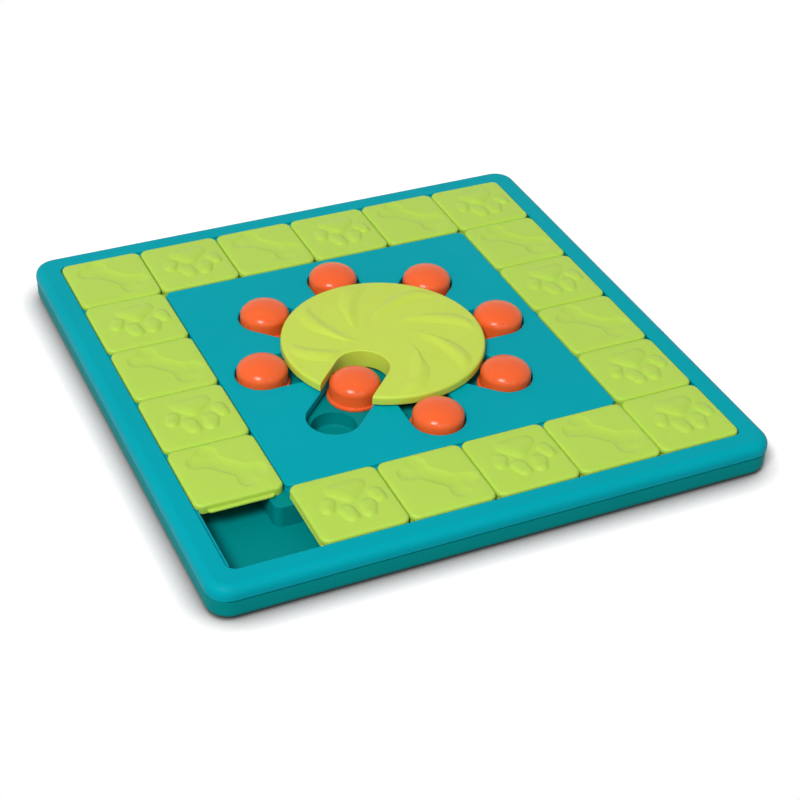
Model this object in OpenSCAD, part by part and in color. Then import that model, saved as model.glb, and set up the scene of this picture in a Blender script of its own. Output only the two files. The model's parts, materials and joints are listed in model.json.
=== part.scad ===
// Sliding-tile treat puzzle board for a dog, with a turning wheel and eight sliding knobs.
// The origin is the middle of the board, on the floor. +X runs to the right along the
// near side, +Y to the far side and +Z up. A size called a drop is measured down from
// the top of the centre panel, and a size called proud is measured up from it.

/* [Tiles] */
// Distance between the middles of two neighbouring tiles
tile_pitch = 50; // [48:1:58]
// Gap between two neighbouring tiles
tile_gap = 0.6; // [0.4:0.1:1.2]
// Corner radius of a tile, seen from above
tile_corner = 5; // [3:0.5:8]
// Height of a tile's top above the panel
tile_proud = 1.2; // [0.5:0.1:2.5]
// Rounding of a tile's top edge
tile_edge = 1; // [0.4:0.1:1.5]
// Reach of a tile's tongue beyond its side
tongue_reach = 2.2; // [1.5:0.1:2.6]
// Thickness of a tongue
tongue_thick = 1.2; // [0.8:0.1:1.4]
// Length of a tile's tongue
tongue_length = 37; // [20:1:38]
// Drop of the middle of every tongue and groove
tongue_drop = 2.8; // [2.6:0.1:3.1]
// Room above and below a tongue in its groove
tongue_fit = 0.2; // [0.1:0.05:0.4]
// Room beyond a tongue's tip in its groove
tongue_end_fit = 0.4; // [0.2:0.1:0.8]
// Height of the raised paw pads and depth of the sunk bone
motif_depth = 0.8; // [0.4:0.1:1]
// Room under a tile where it slides over the plateau
tile_lift = 0.1; // [0.05:0.05:0.3]

/* [Board] */
// Width of the rim's top, from the tile track to the outside
rim_width = 14; // [13:0.5:20]
// Corner radius of the board, seen from above
board_corner = 13; // [10:0.5:20]
// Rounding of the rim's outer top edge
rim_edge = 5.5; // [2:0.5:6]
// Corner radius of the track's outer wall
track_corner = 5.5; // [4:0.5:7]
// Drop of the parting line between rim and base tray
parting_drop = 8; // [7:0.5:10]
// How far the base tray stands back from the rim at the parting line
parting_step = 0.3; // [0.1:0.1:0.8]
// Rounding of the base tray's bottom edge
base_edge = 4; // [2:0.5:5]
// Drop of the trough's floor
trough_drop = 18; // [17.5:0.5:26]
// Wall thickness of the mouldings
wall = 2.2; // [1.8:0.1:2.6]
// Width of the rim's inner wall, which holds the tongue groove
rim_inner_wall = 4.4; // [4:0.1:5]
// Corner radius of the centre panel
panel_corner = 4.5; // [3:0.5:8]
// Rounding of the panel's top edge
panel_edge = 0.8; // [0.4:0.1:1.2]
// Thickness of the panel
panel_thick = 4.5; // [4.3:0.1:6]
// Width of the plateau's ledge under the tiles, beyond the panel
ledge_width = 10; // [6:0.5:16]

/* [Wheel] */
// Gap between the wheel's edge and a knob that covers its cup
knob_gap = 0.9; // [0.4:0.1:1.5]
// Thickness of the wheel
wheel_thick = 5.4; // [4:0.1:6.5]
// Gap between the wheel and the panel
wheel_gap = 1; // [0.5:0.1:2]
// Height of the crown on the wheel's top
wheel_crown = 0.6; // [0.4:0.1:2]
// Rounding of the wheel's top edge
wheel_edge = 1.8; // [0.8:0.1:2.5]
// Drop of the drum's underside
drum_drop = 4.2; // [3.8:0.1:4.3]
// Height of the swirl's vanes above the wheel's edge
vane_proud = 0.9; // [0.7:0.1:1.5]
// Radius of the pivot post
pivot_radius = 5; // [4:0.5:7]
// Running clearance round the pivot post
pivot_fit = 0.06; // [0.03:0.01:0.1]

/* [Knobs] */
// Radius of a knob's dome
knob_radius = 14.6; // [13.5:0.1:15.5]
// Height of a knob's top above the panel
knob_proud = 9.6; // [8.5:0.1:12]
// Height of the curved part of the dome
dome_height = 7.8; // [6:0.1:8.5]
// How far the flange under a knob reaches beyond its dome
flange_reach = 1.9; // [1.5:0.1:2.5]
// Thickness of the flange
flange_thick = 1.9; // [1.5:0.1:1.9]
// Width of panel left beyond a slot's end
slot_margin = 9.1; // [6:0.1:12]
// How far the drawn-in knob has been slid towards the axis
knob_slide = 31; // [29:0.5:33]
// How much further in the drawn-in knob can go
knob_spare = 10.5; // [9:0.5:12]
// Room beside a knob's dome in its slot and in the wheel's notch
dome_fit = 1; // [0.6:0.1:1.2]
// Room round a flange in its channel
flange_fit = 0.5; // [0.4:0.1:0.6]
// Drop of the channels' floor
channel_drop = 6.5; // [6.4:0.1:7]
// Radius of a treat cup
cup_radius = 13; // [10:0.5:14]
// Depth of a treat cup below its channel
cup_depth = 9; // [6:0.5:9.2]

/* [Fasteners and feet] */
// Radius of a screw's shank
screw_radius = 1.5; // [1.2:0.1:1.8]
// Radius of a screw's head
head_radius = 3; // [2.6:0.1:3.4]
// Height of a screw's head
head_height = 1.8; // [1.4:0.1:2]
// Clearance round shanks, heads and feet
screw_fit = 0.1; // [0.05:0.05:0.3]
// Distance of the rim's screws from the middle of each side
rim_screw_spread = 100; // [60:5:120]
// Distance of the panel's screws from the wheel's axis
panel_screw_track = 84; // [78:1:88]
// Radius of the axle washer
washer_radius = 5; // [4.5:0.5:7]
// Thickness of the axle washer
washer_thick = 0.8; // [0.5:0.1:1.2]
// Radius of a rubber foot
foot_radius = 8; // [6:0.5:10]
// How far a foot stands below the base tray
foot_proud = 0.8; // [0.6:0.1:2]
// Depth of the recess that a foot is glued into
foot_recess = 0.8; // [0.5:0.1:1]
// Distance of a foot from the board's middle, along each side
foot_spread = 135; // [115:5:140]

/* [Hidden] */

$fn = 96;
TEAL = "#00a2af";
LIME = "#b5d75b";
PALE_LIME = "#c5de5f";
ORANGE = "#ee6a35";
STEEL = "#b9bcc0";
RUBBER = "#2b2d2f";
// Overlap that makes a cut run clean through a face
CUT = 1;
// Share of a circle's radius at which a blob's straight sides start
SIDE_TUCK = 0.96;
// The paw and the bone are drawn on a tile of this side, and then scaled to the tile
MOTIF_SIDE = 50;

// Knobs in order round the wheel, from +X turning to +Y
KNOBS = ["knob_right", "knob_far_right", "knob_far", "knob_far_left",
         "knob_left", "knob_near_left", "knob_near", "knob_near_right"];
KNOB_STEP = 360 / len(KNOBS);
DRAWN_KNOB = 5;
drawn_angle = DRAWN_KNOB * KNOB_STEP;

// Tiles: name, column from the left, row from the near side, and whether it has a paw.
// The cell in column 0 and row 0 is empty.
SIDE_CELLS = 6;
TILES = [
    ["tile_left_1", 0, 1, false], ["tile_left_2", 0, 2, true],
    ["tile_left_3", 0, 3, false], ["tile_left_4", 0, 4, true],
    ["tile_corner_far_left", 0, 5, false],
    ["tile_near_1", 1, 0, true], ["tile_near_2", 2, 0, false],
    ["tile_near_3", 3, 0, true], ["tile_near_4", 4, 0, false],
    ["tile_corner_near_right", 5, 0, true],
    ["tile_far_1", 1, 5, true], ["tile_far_2", 2, 5, false],
    ["tile_far_3", 3, 5, true], ["tile_far_4", 4, 5, false],
    ["tile_corner_far_right", 5, 5, true],
    ["tile_right_1", 5, 1, true], ["tile_right_2", 5, 2, false],
    ["tile_right_3", 5, 3, true], ["tile_right_4", 5, 4, false]
];

FEET = [["foot_near_left", -1, -1], ["foot_near_right", 1, -1],
        ["foot_far_left", -1, 1], ["foot_far_right", 1, 1]];

// Track and panel, seen from above
tile_side = tile_pitch - tile_gap;
track_half = SIDE_CELLS / 2 * tile_pitch + tile_gap / 2;
board_half = track_half + rim_width;
panel_half = (SIDE_CELLS / 2 - 1) * tile_pitch - tile_gap / 2;
plateau_half = panel_half + ledge_width;
base_half = board_half - parting_step;

// Heights above the floor
floor_top = foot_proud + wall;
panel_top = floor_top + trough_drop;
plateau_top = panel_top - panel_thick;
parting_height = panel_top - parting_drop;
channel_floor = panel_top - channel_drop;
skin_under = channel_floor - wall;
tile_bottom = plateau_top + tile_lift;
tile_top = panel_top + tile_proud;
tongue_low = panel_top - tongue_drop - tongue_thick / 2;
cup_floor = channel_floor - cup_depth;

// Knobs, slots and channels. The track is the distance from the wheel's axis to a knob
// that covers its cup.
flange_radius = knob_radius + flange_reach;
slot_half = knob_radius + dome_fit;
channel_half = flange_radius + flange_fit;
flange_low = channel_floor + tile_lift;
knob_track = panel_half - slot_margin - slot_half;

// Wheel
wheel_radius = knob_track - knob_radius - knob_gap;
crown_reach = wheel_radius - 2 * wheel_edge;
wheel_low = panel_top + wheel_gap;
drum_low = panel_top - drum_drop;
// The drum stays clear of the corners where two slots meet under the wheel
drum_radius = slot_half / sin(KNOB_STEP / 2) - dome_fit;
notch_centre = knob_track - knob_slide - knob_spare - dome_fit / 2;
collar_radius = pivot_radius + wall;
collar_top = drum_low - tile_lift;
pivot_top = panel_top - tile_lift;
bore_top = panel_top + pivot_fit;
screw_bite = wheel_gap + wheel_thick - pivot_fit - wall;
VANES = 8;
// Radii where a vane starts and ends, and the turns of those ends from its knob
vane_start = wheel_radius * 0.36;
vane_end = wheel_radius * 0.93;
VANE_START_TURN = 32;
VANE_END_TURN = -5;
// Bulge of a vane's two arcs, as shares of its length
VANE_BULGE = 0.3;
VANE_HOLLOW = 0.1;

// Fasteners
pilot_radius = screw_radius + screw_fit / 2;
clear_radius = screw_radius + screw_fit * 2;
BOSS_BLEND = 0.5;
rim_boss_radius = pilot_radius + 0.8 * wall;
rim_mid = track_half + rim_inner_wall - BOSS_BLEND + rim_boss_radius;
head_hole_radius = head_radius + screw_fit * 2;
tray_pad_radius = head_hole_radius + wall / 2;
tray_pad_top = floor_top + head_height;
rim_screw_low = foot_proud + screw_fit;
rim_screw_top = panel_top - 2 * wall;
panel_screw_top = panel_top - wall / 2;
panel_screw_low = skin_under;

// A square with round corners, centred
module round_square(half, corner) {
    square([2 * half, 2 * (half - corner)], center = true);
    square([2 * (half - corner), 2 * half], center = true);
    for (x = [-1, 1], y = [-1, 1])
        translate([x * (half - corner), y * (half - corner)]) circle(corner);
}

// Half section of a slab's edge, with its outer corners rounded
module edge_section(width, height, top_round, bottom_round) {
    intersection() {
        square([width, height]);
        union() {
            translate([0, bottom_round])
                square([width, height - top_round - bottom_round]);
            square([width - max(top_round, bottom_round), height]);
            if (top_round > 0)
                translate([width - top_round, height - top_round]) circle(top_round);
            if (bottom_round > 0)
                translate([width - bottom_round, bottom_round]) circle(bottom_round);
        }
    }
}

// A slab with round corners whose top and bottom edges are rounded too
module edged_slab(half, corner, height, top_round, bottom_round = 0) {
    straight = half - corner;
    translate([-straight, -straight, 0]) cube([2 * straight, 2 * straight, height]);
    for (turn = [0 : 90 : 270]) rotate(turn) {
        translate([straight, straight, 0]) rotate([90, 0, 0])
            linear_extrude(2 * straight)
                edge_section(corner, height, top_round, bottom_round);
        translate([straight, straight, 0])
            rotate_extrude(angle = 90)
                edge_section(corner, height, top_round, bottom_round);
    }
}

// A bar along one side of a square of this half size, at tongue height. It reaches
// outward for a positive reach and inward for a negative one.
module side_bar(half, reach, length, thick, low) {
    translate([reach > 0 ? half - CUT : half + reach, -length / 2, low])
        cube([abs(reach) + CUT, length, thick]);
}

// Every knob's slot or channel, from the axis out to the knob that covers its cup
module slots(half_width) {
    for (i = [0 : len(KNOBS) - 1]) rotate(i * KNOB_STEP) {
        translate([0, -half_width]) square([knob_track, 2 * half_width]);
        translate([knob_track, 0]) circle(half_width);
    }
}

// Copies its children to each of the rim's screws
module at_rim_screws() {
    for (turn = [0 : 90 : 270], side = [-1, 1])
        rotate(turn) translate([rim_mid, side * rim_screw_spread, 0]) children();
}

// Copies its children to each of the panel's screws, midway between two slots
module at_panel_screws() {
    for (i = [0 : len(KNOBS) - 1])
        rotate((i + 0.5) * KNOB_STEP) translate([panel_screw_track, 0, 0]) children();
}

// A pan-head screw with its head down, standing on height low
module screw(low, top) {
    translate([0, 0, low]) cylinder(h = head_height, r = head_radius);
    translate([0, 0, low]) cylinder(h = top - low, r = screw_radius);
}

module base_tray() color(TEAL) {
    plateau_corner = panel_corner;
    difference() {
        union() {
            difference() {
                translate([0, 0, foot_proud])
                    edged_slab(base_half, board_corner - parting_step,
                               parting_height - foot_proud, 0, base_edge);
                translate([0, 0, floor_top]) linear_extrude(parting_height)
                    round_square(base_half - wall, board_corner - parting_step - wall);
            }
            // plateau that carries the panel, and the pads round the rim's screws
            translate([0, 0, foot_proud]) linear_extrude(plateau_top - foot_proud)
                round_square(plateau_half, plateau_corner);
            at_rim_screws() translate([0, 0, foot_proud + CUT])
                cylinder(h = tray_pad_top - foot_proud - CUT, r = tray_pad_radius);
        }
        // hollow under the plateau, round the cups
        difference() {
            translate([0, 0, foot_proud - CUT]) linear_extrude(skin_under - foot_proud + CUT)
                round_square(plateau_half - wall, plateau_corner - wall / 2);
            for (i = [0 : len(KNOBS) - 1]) rotate(i * KNOB_STEP)
                translate([knob_track, 0, cup_floor - wall])
                    cylinder(h = panel_top, r = cup_radius + wall);
        }
        // channels that the knobs' flanges slide in, and the cups below them
        difference() {
            translate([0, 0, channel_floor]) linear_extrude(panel_top) slots(channel_half);
            cylinder(h = collar_top, r = collar_radius);
        }
        for (i = [0 : len(KNOBS) - 1]) rotate(i * KNOB_STEP)
            translate([knob_track, 0, cup_floor]) cylinder(h = panel_top, r = cup_radius);
        translate([0, 0, collar_top]) cylinder(h = panel_top, r = collar_radius);
        // screw holes and foot recesses
        cylinder(h = panel_top, r = clear_radius);
        at_panel_screws() cylinder(h = panel_top, r = clear_radius);
        at_rim_screws() {
            cylinder(h = tray_pad_top + CUT, r = clear_radius);
            translate([0, 0, foot_proud - CUT])
                cylinder(h = head_height + CUT + screw_fit, r = head_hole_radius);
        }
        for (f = FEET) translate([f[1] * foot_spread, f[2] * foot_spread, foot_proud - CUT])
            cylinder(h = foot_recess + CUT, r = foot_radius + screw_fit);
    }
    // pivot post of the wheel
    difference() {
        translate([0, 0, collar_top - CUT / 2])
            cylinder(h = pivot_top - collar_top + CUT / 2, r = pivot_radius);
        cylinder(h = panel_top, r = clear_radius);
    }
}

module centre_panel() color(TEAL) {
    groove_low = tongue_low - tongue_fit;
    groove_thick = tongue_thick + 2 * tongue_fit;
    difference() {
        union() {
            translate([0, 0, plateau_top])
                edged_slab(panel_half, panel_corner, panel_thick, panel_edge);
            // tongues on the near and right sides
            for (turn = [0, -90]) rotate(turn)
                side_bar(panel_half, tongue_reach, 2 * (panel_half - panel_corner),
                         tongue_thick, tongue_low);
        }
        translate([0, 0, plateau_top - CUT]) linear_extrude(panel_thick + 2 * CUT)
            slots(slot_half);
        // grooves on the far and left sides
        for (turn = [90, 180]) rotate(turn)
            side_bar(panel_half + CUT, -(tongue_reach + tongue_end_fit + CUT - tile_gap),
                     2 * board_half, groove_thick, groove_low);
        at_panel_screws() translate([0, 0, plateau_top - CUT])
            cylinder(h = panel_screw_top - plateau_top + CUT + screw_fit, r = pilot_radius);
    }
}

module outer_rim() color(TEAL) {
    groove_low = tongue_low - tongue_fit;
    groove_thick = tongue_thick + 2 * tongue_fit;
    inner_half = track_half + rim_inner_wall;
    inner_corner = track_corner + rim_inner_wall / 2;
    difference() {
        union() {
            translate([0, 0, parting_height])
                edged_slab(board_half, board_corner, parting_drop, rim_edge);
            // skirt that walls off the trough
            translate([0, 0, floor_top]) linear_extrude(parting_height + CUT - floor_top)
                round_square(inner_half, inner_corner);
        }
        translate([0, 0, foot_proud]) linear_extrude(panel_top)
            round_square(track_half, track_corner);
        // hollow between the rim's walls, round the screw bosses
        difference() {
            translate([0, 0, parting_height - CUT])
                linear_extrude(parting_drop - wall + CUT)
                    difference() {
                        round_square(board_half - wall, board_corner - wall);
                        round_square(inner_half, inner_corner);
                    }
            at_rim_screws() cylinder(h = panel_top, r = rim_boss_radius);
        }
        // grooves on the near and right sides
        for (turn = [0, -90]) rotate(turn)
            side_bar(track_half - CUT, tongue_reach + tongue_end_fit + CUT - tile_gap,
                     2 * (track_half - tongue_end_fit), groove_thick, groove_low);
        at_rim_screws() {
            cylinder(h = rim_screw_top + screw_fit, r = pilot_radius);
            cylinder(h = tray_pad_top, r = tray_pad_radius + screw_fit);
        }
    }
    // screw bosses below the parting line
    at_rim_screws() difference() {
        translate([0, 0, tray_pad_top])
            cylinder(h = parting_height + CUT - tray_pad_top, r = rim_boss_radius);
        cylinder(h = panel_top, r = pilot_radius);
    }
    // tongues on the far and left sides
    for (turn = [90, 180]) rotate(turn)
        side_bar(track_half, -tongue_reach, 2 * (track_half - track_corner),
                 tongue_thick, tongue_low);
}

// Outline of one crescent vane on the wheel, from its inner tip to its outer tip
module vane() {
    start = vane_start * [cos(VANE_START_TURN), sin(VANE_START_TURN)];
    end = vane_end * [cos(VANE_END_TURN), sin(VANE_END_TURN)];
    span = norm(end - start);
    lean = atan2(end[1] - start[1], end[0] - start[0]);
    outer = VANE_BULGE * span;
    inner = VANE_HOLLOW * span;
    outer_radius = (span * span / 4 + outer * outer) / (2 * outer);
    inner_radius = (span * span / 4 + inner * inner) / (2 * inner);
    translate(start) rotate(lean) difference() {
        translate([span / 2, outer - outer_radius]) circle(outer_radius);
        translate([span / 2, inner - inner_radius]) circle(inner_radius);
    }
}

module wheel() color(PALE_LIME) {
    top = wheel_low + wheel_thick;
    crown_radius = (crown_reach * crown_reach + wheel_crown * wheel_crown) / (2 * wheel_crown);
    difference() {
        union() {
            rotate_extrude() difference() {
                translate([0, wheel_low])
                    edge_section(wheel_radius, wheel_thick, wheel_edge, 0);
                translate([-2 * wheel_radius, 0]) square([2 * wheel_radius, 2 * top]);
            }
            intersection() {
                translate([0, 0, top + wheel_crown - crown_radius]) sphere(crown_radius);
                translate([0, 0, wheel_low + CUT]) cylinder(h = wheel_thick, r = wheel_radius);
            }
            translate([0, 0, drum_low])
                cylinder(h = wheel_low + CUT - drum_low, r = drum_radius);
            // swirl of vanes, one for each knob that is not drawn in
            for (i = [0 : VANES - 1]) if (i != DRAWN_KNOB) rotate(i * 360 / VANES)
                translate([0, 0, wheel_low + CUT])
                    linear_extrude(wheel_thick + vane_proud - CUT) vane();
        }
        // notch that faces the drawn-in knob
        rotate(drawn_angle) translate([0, 0, drum_low - CUT])
            linear_extrude(top + vane_proud - drum_low + 2 * CUT) {
                translate([notch_centre, -slot_half])
                    square([wheel_radius, 2 * slot_half]);
                translate([notch_centre, 0]) circle(slot_half);
            }
        translate([0, 0, drum_low - CUT])
            cylinder(h = bore_top - drum_low + CUT, r = pivot_radius + pivot_fit);
        cylinder(h = bore_top + screw_bite + screw_fit, r = pilot_radius);
    }
}

module axle_washer() color(STEEL) difference() {
    translate([0, 0, skin_under - washer_thick]) cylinder(h = washer_thick, r = washer_radius);
    cylinder(h = panel_top, r = clear_radius);
}

module axle_screw() color(STEEL)
    screw(skin_under - washer_thick - head_height, bore_top + screw_bite);

// A knob at a distance from the wheel's axis: a dome on a straight skirt and a flange
module knob(distance) color(ORANGE) translate([distance, 0, 0]) {
    top = panel_top + knob_proud;
    skirt_top = top - dome_height;
    translate([0, 0, flange_low]) cylinder(h = flange_thick, r = flange_radius);
    translate([0, 0, flange_low]) cylinder(h = skirt_top - flange_low, r = knob_radius);
    translate([0, 0, skirt_top]) scale([1, 1, dome_height / knob_radius])
        intersection() {
            sphere(knob_radius);
            cylinder(h = knob_radius, r = 2 * knob_radius);
        }
}

// Round outline through circles [x, y, radius], listed counter-clockwise. Its straight
// sides start just inside the circles, so that they cross the arcs and don't graze them.
module blob(circles) {
    for (c = circles) translate([c[0], c[1]]) circle(c[2]);
    last = len(circles) - 1;
    polygon([for (i = [0 : last], end = [0, 1])
        let (a = circles[i], b = circles[i < last ? i + 1 : 0],
             way = [b[0] - a[0], b[1] - a[1]] / norm([b[0] - a[0], b[1] - a[1]]),
             c = end == 0 ? a : b)
        [c[0] + SIDE_TUCK * c[2] * way[1], c[1] - SIDE_TUCK * c[2] * way[0]]]);
}

// Paw print: one broad pad and four toes
module paw_outline() scale(tile_side / MOTIF_SIDE) {
    blob([[2, 5, 4.3], [9.9, 14.4, 4.8], [-5.4, 14.9, 4.6]]);
    blob([[-13.2, -1.8, 3.2], [-10.9, 3.6, 4]]);
    blob([[-3, -11.3, 4.3], [-4, -5.7, 4.7]]);
    blob([[6.7, -11.1, 3.8], [8.5, -5, 4.3]]);
    blob([[17.2, -2, 3.6], [16, 3.2, 4]]);
}

// Bone: a bar with two round knuckles at each end
module bone_outline() scale(tile_side / MOTIF_SIDE) {
    blob([[-6.1, 10.9, 5], [9.8, -7.1, 5]]);
    for (knuckle = [[-4.9, 15.4], [-11.7, 9.9], [8.7, -11.5], [15.5, -5.9]])
        translate(knuckle) circle(6);
}

// A tile in the cell of this column and row, with its tongues and grooves
module tile(column, row, has_paw) {
    middle = (SIDE_CELLS - 1) / 2;
    groove_reach = tongue_reach + tongue_end_fit - tile_gap;
    color(LIME)
    translate([(column - middle) * tile_pitch, (row - middle) * tile_pitch, 0]) {
        difference() {
            translate([0, 0, tile_bottom])
                edged_slab(tile_side / 2, tile_corner, tile_top - tile_bottom, tile_edge);
            // grooves on the left and far sides
            for (turn = [90, 180]) rotate(turn)
                side_bar(tile_side / 2 + CUT, -(groove_reach + CUT), tile_side + 2 * CUT,
                         tongue_thick + 2 * tongue_fit, tongue_low - tongue_fit);
            if (!has_paw) translate([0, 0, tile_top - motif_depth])
                linear_extrude(motif_depth + CUT) bone_outline();
        }
        // tongues on the near and right sides
        for (turn = [0, -90]) rotate(turn)
            side_bar(tile_side / 2, tongue_reach, tongue_length, tongue_thick, tongue_low);
        if (has_paw) translate([0, 0, tile_top - CUT / 2])
            linear_extrude(motif_depth + CUT / 2) paw_outline();
    }
}

module rim_screws() color(STEEL) at_rim_screws() screw(rim_screw_low, rim_screw_top);

module panel_screws() color(STEEL) at_panel_screws()
    screw(panel_screw_low - head_height, panel_screw_top);

module foot(side_x, side_y) color(RUBBER)
    translate([side_x * foot_spread, side_y * foot_spread, 0])
        cylinder(h = foot_proud + foot_recess, r = foot_radius);

base_tray();
centre_panel();
outer_rim();
wheel();
axle_screw();
axle_washer();
for (i = [0 : len(KNOBS) - 1]) rotate(i * KNOB_STEP) knob(i == DRAWN_KNOB ? knob_track - knob_slide : knob_track);
for (t = TILES) tile(t[1], t[2], t[3]);
rim_screws();
panel_screws();
for (f = FEET) foot(f[1], f[2]);
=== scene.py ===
# %% [markdown]
# # A sliding-tile treat puzzle board
# The board is a set of injection-moulded parts: a teal base and rim, lime tiles that slide
# round a track, a pale lime wheel and eight orange knobs. The CAD model fixes where each
# part is and how it moves. This lesson dresses it: each visible part is modelled again
# with the soft edges and the relief of the moulded one, at the size that the CAD gives.

# %% Load the CAD frame
import json
import math

import bpy
import numpy as np
from mathutils import Matrix, Vector


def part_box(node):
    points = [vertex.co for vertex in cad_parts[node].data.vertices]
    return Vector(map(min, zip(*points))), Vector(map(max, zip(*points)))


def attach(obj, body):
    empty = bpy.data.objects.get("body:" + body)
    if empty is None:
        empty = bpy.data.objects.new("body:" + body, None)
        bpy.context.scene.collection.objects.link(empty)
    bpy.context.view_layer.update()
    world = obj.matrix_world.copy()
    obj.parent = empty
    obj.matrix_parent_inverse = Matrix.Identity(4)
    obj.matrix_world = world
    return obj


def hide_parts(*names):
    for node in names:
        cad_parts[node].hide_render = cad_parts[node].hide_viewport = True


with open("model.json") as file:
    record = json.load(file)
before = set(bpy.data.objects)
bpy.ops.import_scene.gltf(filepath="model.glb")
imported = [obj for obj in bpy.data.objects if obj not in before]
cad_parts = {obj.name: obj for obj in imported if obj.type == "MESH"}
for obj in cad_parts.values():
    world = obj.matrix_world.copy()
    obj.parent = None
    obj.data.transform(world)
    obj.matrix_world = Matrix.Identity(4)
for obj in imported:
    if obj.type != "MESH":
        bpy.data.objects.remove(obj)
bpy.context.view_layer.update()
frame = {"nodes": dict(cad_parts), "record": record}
MM = 0.001

# %% [markdown]
# ## Sizes that several parts share
# Heights are read from the CAD nodes where they can be, so that every dressed part sits
# where its solid does. The rest repeats the values that the solids were drawn from.

# %% Shared sizes in millimetres
PANEL_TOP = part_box("centre_panel")[1].z / MM
TILE_TOP = PANEL_TOP + 1.2
TILE_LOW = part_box("tile_left_1")[0].z / MM
TILE_HALF = 24.7
TILE_PITCH = 50.0
TONGUE_LOW, TONGUE_HIGH = PANEL_TOP - 3.4, PANEL_TOP - 2.2
KNOB_TRACK = 75.0
KNOB_SLIDE = 31.0
KNOB_SPACING = 45
SLOT_HALF = 15.6
# the direction of the drawn-in knob and of the wheel's notch, in degrees
DRAWN_TURN = 225
print("panel top", round(PANEL_TOP, 2), "tiles from", round(TILE_LOW, 2), "to",
      round(TILE_TOP, 2))

# %% [markdown]
# ## Working by hand in code
# In Blender's window one would select an edge and press a key. In code the same work is a
# handful of short helpers: start from nothing selected, add a primitive, pick vertices or
# edges by their place, run the operator, leave edit mode.

# %% Selection helpers
def pick_none():
    bpy.ops.object.select_all(action="DESELECT")


def pick_only(piece):
    pick_none()
    piece.select_set(True)
    bpy.context.view_layer.objects.active = piece


def leave_edit():
    bpy.ops.object.mode_set(mode="OBJECT")


def pick_nothing_in(piece, kind):
    """Sets the piece's select mode to kind and leaves nothing in its mesh selected."""
    pick_only(piece)
    bpy.ops.object.mode_set(mode="EDIT")
    bpy.ops.mesh.select_mode(type=kind)
    bpy.ops.mesh.select_all(action="DESELECT")
    leave_edit()


def pick_points(piece, wanted):
    """Opens the piece in edit mode with only the vertices that wanted(x, y, z) picks."""
    pick_nothing_in(piece, "VERT")
    for vertex in piece.data.vertices:
        vertex.select = bool(wanted(*(vertex.co / MM)))
    bpy.ops.object.mode_set(mode="EDIT")


def pick_edges(piece, wanted):
    """Opens the piece in edit mode with only the edges whose two ends wanted() picks."""
    pick_nothing_in(piece, "EDGE")
    points = [vertex.co / MM for vertex in piece.data.vertices]
    for edge in piece.data.edges:
        edge.select = bool(wanted(points[edge.vertices[0]], points[edge.vertices[1]]))
    bpy.ops.object.mode_set(mode="EDIT")


def is_upright(a, b):
    """True for an edge between two heights, false for a level one."""
    return abs(a[2] - b[2]) > 0.5


# %% [markdown]
# Four more steps repeat: adding a block between two corners, joining or cutting with a
# Boolean, copying a finished piece and shading it. A place that an object holds is applied
# at once, so that all sizes below are read in the board's own frame.

# %% Block, Boolean, copy and shading helpers
def apply_place(piece):
    pick_only(piece)
    bpy.ops.object.transform_apply(location=True, rotation=True, scale=True)


def cut_or_join(piece, tool, operation):
    """Runs a Boolean with the tool object, applies it and deletes the tool."""
    pick_only(piece)
    step = piece.modifiers.new("boolean", "BOOLEAN")
    step.operation, step.solver, step.object = operation, "EXACT", tool
    bpy.ops.object.modifier_apply(modifier=step.name)
    bpy.data.meshes.remove(tool.data)


def add_block(low, high):
    """A cube primitive from one corner to the other, in millimetres."""
    pick_none()
    middle = [(a + b) / 2 * MM for a, b in zip(low, high)]
    bpy.ops.mesh.primitive_cube_add(size=1, location=middle)
    block = bpy.context.object
    block.dimensions = [(b - a) * MM for a, b in zip(low, high)]
    apply_place(block)
    return block


def copy_piece(piece, name, turn=0.0, shift=(0.0, 0.0, 0.0)):
    """A copy with a mesh of its own, turned about the wheel's axis and shifted."""
    twin = piece.copy()
    twin.data = piece.data.copy()
    twin.name = twin.data.name = name
    bpy.context.scene.collection.objects.link(twin)
    twin.rotation_euler.z = math.radians(turn)
    twin.location = [part * MM for part in shift]
    apply_place(twin)
    return twin


def smooth_shade(piece, degrees, has_flats=False):
    """Smooth shading up to an angle; with has_flats, large faces stay flat beside bevels."""
    pick_only(piece)
    bpy.ops.object.shade_smooth_by_angle(angle=math.radians(degrees))
    if has_flats:
        step = piece.modifiers.new("normals", "WEIGHTED_NORMAL")
        step.weight, step.keep_sharp = 100, True
        bpy.ops.object.modifier_apply(modifier=step.name)


# %% [markdown]
# A finished piece is seated last: it gets its name and plastic, it rides the body that its
# CAD node belongs to, and it takes that node's place in the picture.

# %% Seat a finished piece
BODIES = frame["record"]["behaviour"]["bodies"]


def seat(piece, name, nodes, material):
    """Names the piece, gives it its plastic and lets it stand for its CAD nodes."""
    piece.name = piece.data.name = name
    piece.data.materials.clear()
    piece.data.materials.append(material)
    body = next(b for b, members in BODIES.items() if nodes[0] in members)
    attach(piece, body)
    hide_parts(*nodes)
    return len(piece.data.polygons)


print("bodies that a piece can ride:", len(BODIES))


# %% [markdown]
# ## Plastics
# The real board is moulded in coloured ABS or polypropylene. Moulded plastic is never one
# flat colour: the pigment varies a little across a part, the polished mould leaves a satin
# skin with a very fine grain, and handling leaves faint differences in gloss. One builder
# makes all the plastics from a colour, a second colour for the drift of the pigment, and a
# gloss. Each colour is written as an sRGB hex value and turned to linear light once.

# %% Colour and node helpers
def linear(hex_colour):
    """Linear RGBA from an sRGB hex colour."""
    parts = [int(hex_colour[i:i + 2], 16) / 255 for i in (1, 3, 5)]
    return [p / 12.92 if p <= 0.04045 else ((p + 0.055) / 1.055) ** 2.4 for p in parts] + [1]


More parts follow.
